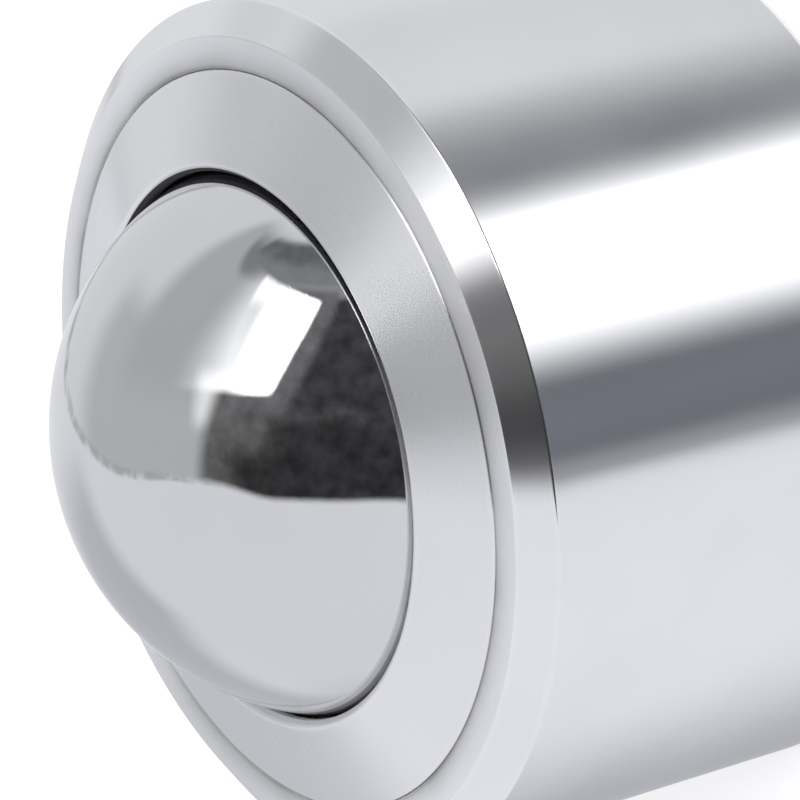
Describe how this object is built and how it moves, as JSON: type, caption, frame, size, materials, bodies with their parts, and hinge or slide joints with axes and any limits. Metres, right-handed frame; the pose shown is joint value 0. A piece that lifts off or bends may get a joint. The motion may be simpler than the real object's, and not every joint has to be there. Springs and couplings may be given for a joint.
{
  "type": "ball castor",
  "caption": "Turned steel ball castor: a load ball rolls on small balls in a hemispherical race, inside a plain cylindrical housing with a coned retaining ring.",
  "frame": {"origin": "centre of the flat rear face that it stands on and is pressed home against", "axes": "+Z along the housing's axis towards the load ball; X and Y are any two directions square to it"},
  "size_m": [0.024, 0.024, 0.0193],
  "materials": {
    "housing_steel": "bright turned and plated",
    "ring_steel": "fine turned and plated",
    "polished_ball": "mirror polished",
    "hardened_steel": "hardened and ground",
    "support_ball": "polished",
    "felt": "oiled felt"
  },
  "bodies": {
    "housing": {"housing": "housing_steel", "race_cup": "hardened_steel", "retaining_ring": "ring_steel", "felt_wiper": "felt", "seal_washer": "hardened_steel"},
    "support_balls": {"support_ball_bottom": "support_ball", "support_ball_row_1": "support_ball", "support_ball_row_2": "support_ball", "support_ball_row_3": "support_ball", "support_ball_row_4": "support_ball", "support_ball_row_5": "support_ball", "support_ball_row_6": "support_ball", "support_ball_row_7": "support_ball"},
    "load_ball": {"load_ball": "polished_ball"}
  },
  "joints": [
    {"name": "ball_swivel", "type": "hinge", "parent": "housing", "child": "support_balls", "pos_m": [0, 0, 0.01134], "axis": [0, 0, 1], "continuous": true},
    {"name": "ball_roll", "type": "hinge", "parent": "support_balls", "child": "load_ball", "pos_m": [0, 0, 0.01134], "axis": [1, 0, 0], "continuous": true}
  ]
}
